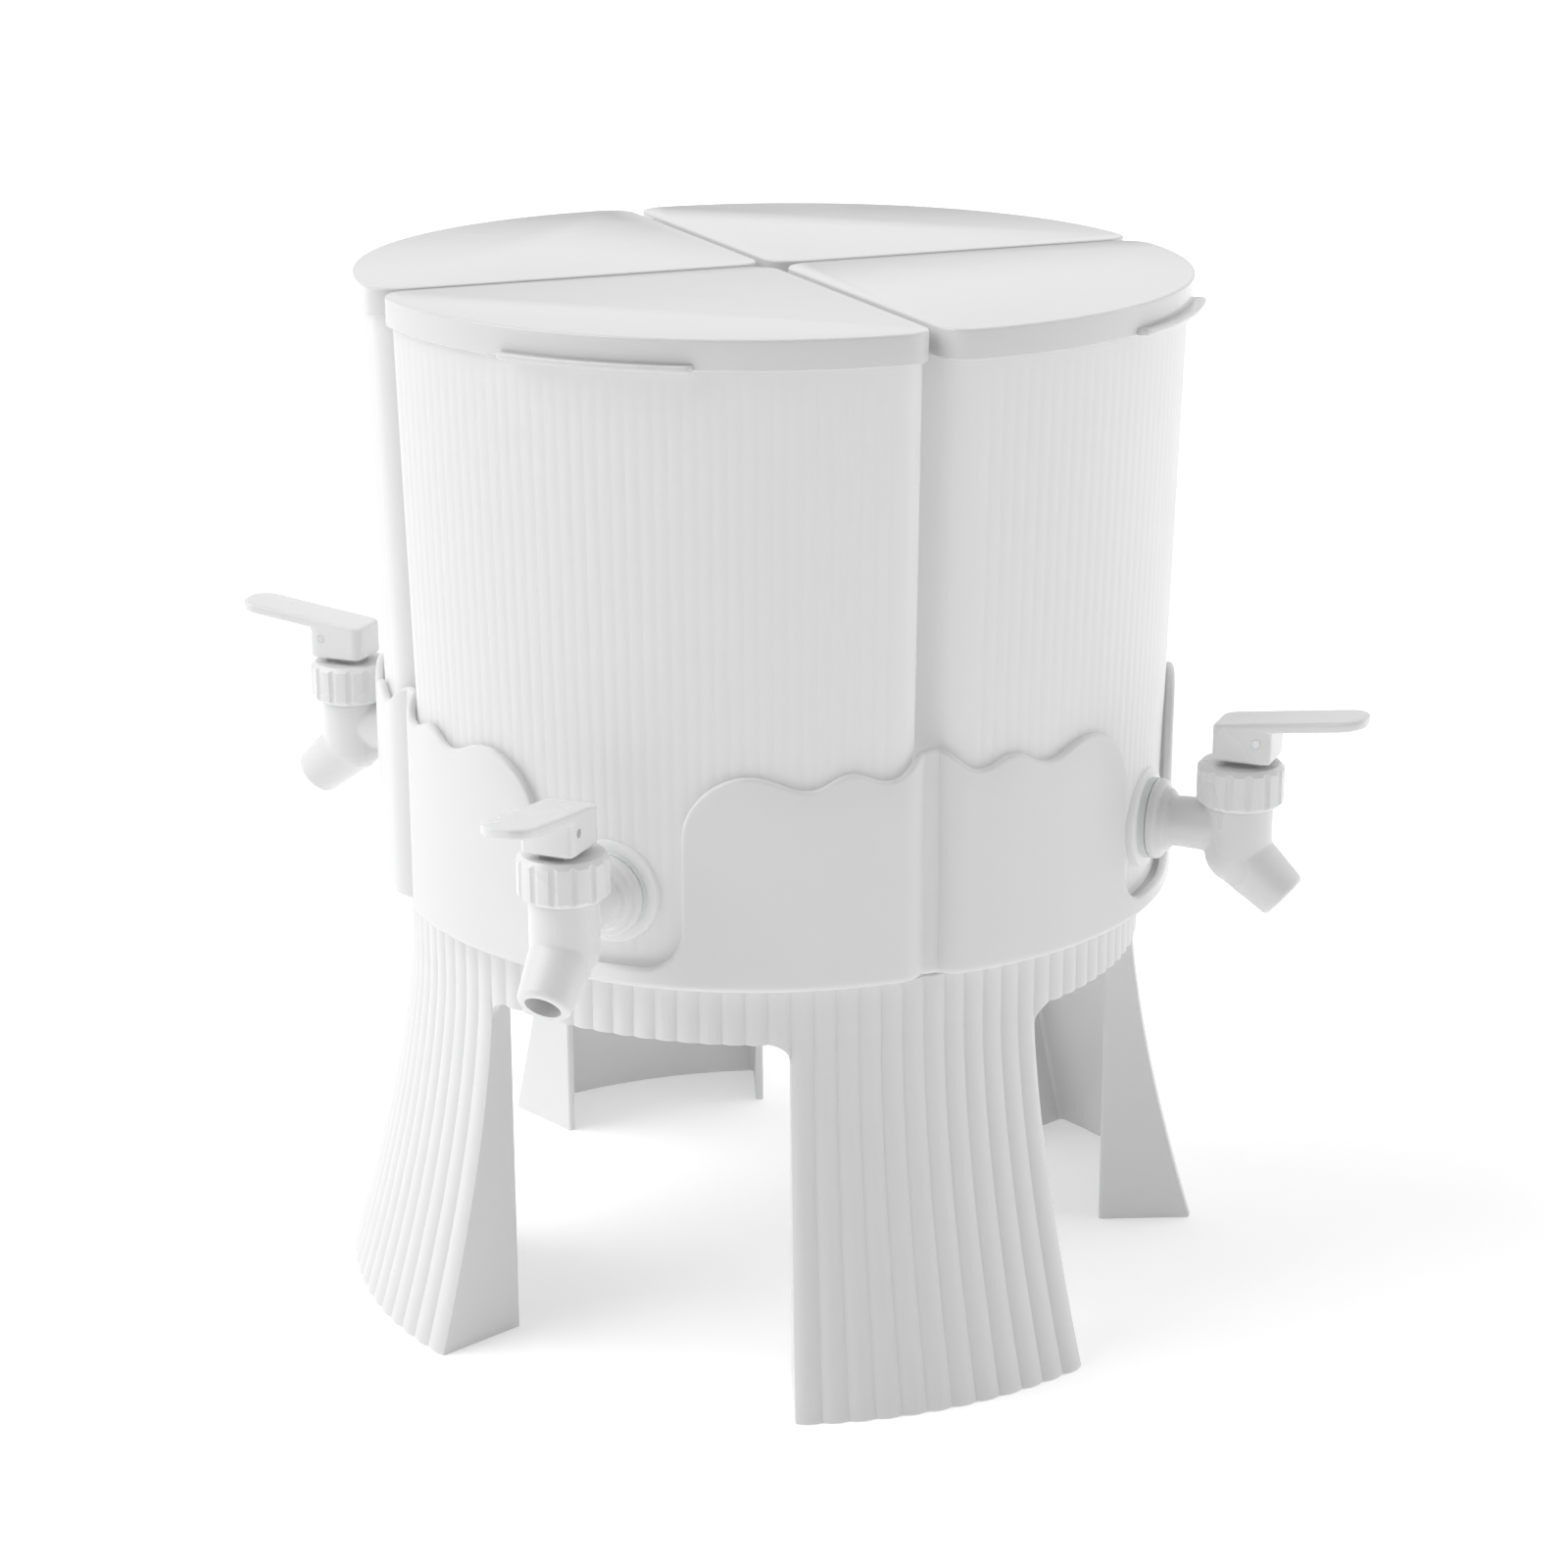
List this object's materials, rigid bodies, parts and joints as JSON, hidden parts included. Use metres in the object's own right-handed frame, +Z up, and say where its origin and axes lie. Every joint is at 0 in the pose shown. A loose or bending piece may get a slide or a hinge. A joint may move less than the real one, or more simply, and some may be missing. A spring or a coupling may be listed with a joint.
{
  "type": "rotating drink dispenser",
  "caption": "Countertop drink dispenser: quarter-round containers with lids and lever taps stand in a turning wavy-edged tray on a fluted stand with splayed legs.",
  "frame": {"origin": "on the floor under the tray's pivot", "axes": "+Z up along the pivot; the taps point along -Y, +X, +Y and -X, the legs lie on the diagonals"},
  "size_m": [0.3704, 0.3704, 0.3116],
  "materials": {
    "stand_plastic": "white polypropylene, satin moulded",
    "race_plastic": "white acetal, satin",
    "frosted_plastic": "frosted translucent polystyrene with fine ribs",
    "lid_plastic": "white polypropylene, glossy",
    "tap_plastic": "white ABS, moulded",
    "silicone": "translucent silicone",
    "steel": "stainless steel"
  },
  "bodies": {
    "stand": {"stand": "stand_plastic", "bearing_lower_race": "race_plastic"},
    "ball_ring": {"ball_cage": "race_plastic", "bearing_balls": "steel"},
    "tray": {"tray": "stand_plastic", "bearing_upper_race": "race_plastic", "pivot_washer": "steel", "pivot_screw": "steel"},
    "container_front": {"container_front": "frosted_plastic", "tap_body_front": "tap_plastic", "tap_washers_front": "silicone", "tap_nut_front": "tap_plastic", "tap_bonnet_front": "tap_plastic", "lever_pin_front": "steel", "tap_spring_front": "steel"},
    "lid_front": {"lid_front": "lid_plastic", "lid_gasket_front": "silicone"},
    "lever_front": {"tap_lever_front": "tap_plastic"},
    "plunger_front": {"tap_plunger_front": "tap_plastic", "tap_seal_front": "silicone"},
    "container_right": {"container_right": "frosted_plastic", "tap_body_right": "tap_plastic", "tap_washers_right": "silicone", "tap_nut_right": "tap_plastic", "tap_bonnet_right": "tap_plastic", "lever_pin_right": "steel", "tap_spring_right": "steel"},
    "lid_right": {"lid_right": "lid_plastic", "lid_gasket_right": "silicone"},
    "lever_right": {"tap_lever_right": "tap_plastic"},
    "plunger_right": {"tap_plunger_right": "tap_plastic", "tap_seal_right": "silicone"},
    "container_rear": {"container_rear": "frosted_plastic", "tap_body_rear": "tap_plastic", "tap_washers_rear": "silicone", "tap_nut_rear": "tap_plastic", "tap_bonnet_rear": "tap_plastic", "lever_pin_rear": "steel", "tap_spring_rear": "steel"},
    "lid_rear": {"lid_rear": "lid_plastic", "lid_gasket_rear": "silicone"},
    "lever_rear": {"tap_lever_rear": "tap_plastic"},
    "plunger_rear": {"tap_plunger_rear": "tap_plastic", "tap_seal_rear": "silicone"},
    "container_left": {"container_left": "frosted_plastic", "tap_body_left": "tap_plastic", "tap_washers_left": "silicone", "tap_nut_left": "tap_plastic", "tap_bonnet_left": "tap_plastic", "lever_pin_left": "steel", "tap_spring_left": "steel"},
    "lid_left": {"lid_left": "lid_plastic", "lid_gasket_left": "silicone"},
    "lever_left": {"tap_lever_left": "tap_plastic"},
    "plunger_left": {"tap_plunger_left": "tap_plastic", "tap_seal_left": "silicone"}
  },
  "joints": [
    {"name": "tray_spin", "type": "hinge", "parent": "stand", "child": "tray", "pos_m": [0, 0, 0.127], "axis": [0, 0, 1], "continuous": true},
    {"name": "ball_ring_spin", "type": "hinge", "parent": "stand", "child": "ball_ring", "pos_m": [0, 0, 0.12], "axis": [0, 0, 1], "continuous": true},
    {"name": "container_front_lift", "type": "slide", "parent": "tray", "child": "container_front", "axis": [0, 0, 1], "range_m": [0, 0.08]},
    {"name": "lid_front_lift", "type": "slide", "parent": "container_front", "child": "lid_front", "axis": [0, 0, 1], "range_m": [0, 0.06]},
    {"name": "lever_front_press", "type": "hinge", "parent": "container_front", "child": "lever_front", "pos_m": [0, -0.1544, 0.1826], "axis": [1, 0, 0], "range_deg": [0, 18], "stiffness_Nm_per_rad": 0.3, "springref_deg": -5.73},
    {"name": "plunger_front_rise", "type": "slide", "parent": "container_front", "child": "plunger_front", "axis": [0, 0, 1], "range_m": [0, 0.00195], "deforming": ["tap_spring_front"]},
    {"name": "container_right_lift", "type": "slide", "parent": "tray", "child": "container_right", "axis": [0, 0, 1], "range_m": [0, 0.08]},
    {"name": "lid_right_lift", "type": "slide", "parent": "container_right", "child": "lid_right", "axis": [0, 0, 1], "range_m": [0, 0.06]},
    {"name": "lever_right_press", "type": "hinge", "parent": "container_right", "child": "lever_right", "pos_m": [0.1544, 0, 0.1826], "axis": [0, 1, 0], "range_deg": [0, 18], "stiffness_Nm_per_rad": 0.3, "springref_deg": -5.73},
    {"name": "plunger_right_rise", "type": "slide", "parent": "container_right", "child": "plunger_right", "axis": [0, 0, 1], "range_m": [0, 0.00195], "deforming": ["tap_spring_right"]},
    {"name": "container_rear_lift", "type": "slide", "parent": "tray", "child": "container_rear", "axis": [0, 0, 1], "range_m": [0, 0.08]},
    {"name": "lid_rear_lift", "type": "slide", "parent": "container_rear", "child": "lid_rear", "axis": [0, 0, 1], "range_m": [0, 0.06]},
    {"name": "lever_rear_press", "type": "hinge", "parent": "container_rear", "child": "lever_rear", "pos_m": [0, 0.1544, 0.1826], "axis": [-1, 0, 0], "range_deg": [0, 18], "stiffness_Nm_per_rad": 0.3, "springref_deg": -5.73},
    {"name": "plunger_rear_rise", "type": "slide", "parent": "container_rear", "child": "plunger_rear", "axis": [0, 0, 1], "range_m": [0, 0.00195], "deforming": ["tap_spring_rear"]},
    {"name": "container_left_lift", "type": "slide", "parent": "tray", "child": "container_left", "axis": [0, 0, 1], "range_m": [0, 0.08]},
    {"name": "lid_left_lift", "type": "slide", "parent": "container_left", "child": "lid_left", "axis": [0, 0, 1], "range_m": [0, 0.06]},
    {"name": "lever_left_press", "type": "hinge", "parent": "container_left", "child": "lever_left", "pos_m": [-0.1544, 0, 0.1826], "axis": [0, -1, 0], "range_deg": [0, 18], "stiffness_Nm_per_rad": 0.3, "springref_deg": -5.73},
    {"name": "plunger_left_rise", "type": "slide", "parent": "container_left", "child": "plunger_left", "axis": [0, 0, 1], "range_m": [0, 0.00195], "deforming": ["tap_spring_left"]}
  ],
  "couplings": [
    {"joint": "ball_ring_spin", "follows": "tray_spin", "ratio": 0.5},
    {"joint": "lever_front_press", "follows": "plunger_front_rise", "rad_per_m": 161},
    {"joint": "lever_right_press", "follows": "plunger_right_rise", "rad_per_m": 161},
    {"joint": "lever_rear_press", "follows": "plunger_rear_rise", "rad_per_m": 161},
    {"joint": "lever_left_press", "follows": "plunger_left_rise", "rad_per_m": 161}
  ]
}
